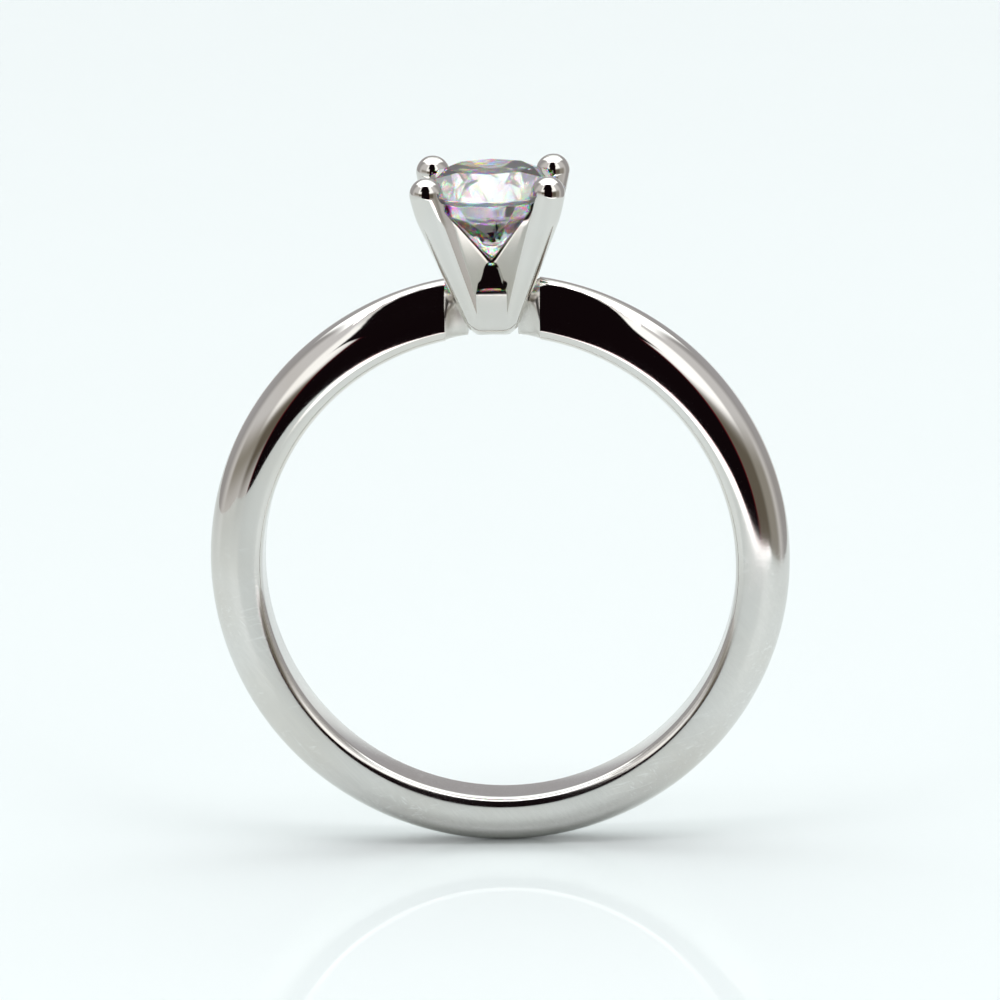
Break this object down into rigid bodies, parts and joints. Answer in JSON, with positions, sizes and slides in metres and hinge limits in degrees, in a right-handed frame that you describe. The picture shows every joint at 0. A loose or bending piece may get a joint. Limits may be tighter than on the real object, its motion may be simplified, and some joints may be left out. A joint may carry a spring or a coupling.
{
  "type": "engagement ring",
  "caption": "Solitaire engagement ring: a plain crowned shank and a pronged head of crossed plates that holds a round brilliant stone above the finger.",
  "frame": {"origin": "centre of the finger hole", "axes": "+Y along the finger's axis, +Z from the finger through the stone, +X completes the right hand"},
  "size_m": [0.0202, 0.0052, 0.0241],
  "materials": {
    "polished_metal": "mirror polish over fine wear scratches, rhodium-plated white gold",
    "solder": "polished white gold solder, slightly softer than the sheet",
    "stone": "clear faceted diamond with strong dispersion"
  },
  "bodies": {
    "root": {"shank": "polished_metal", "head_base": "polished_metal", "prong_pair_a": "polished_metal", "prong_pair_b": "polished_metal", "corner_solder": "solder", "solder_joint_left": "solder", "solder_joint_right": "solder", "diamond": "stone"}
  },
  "joints": []
}
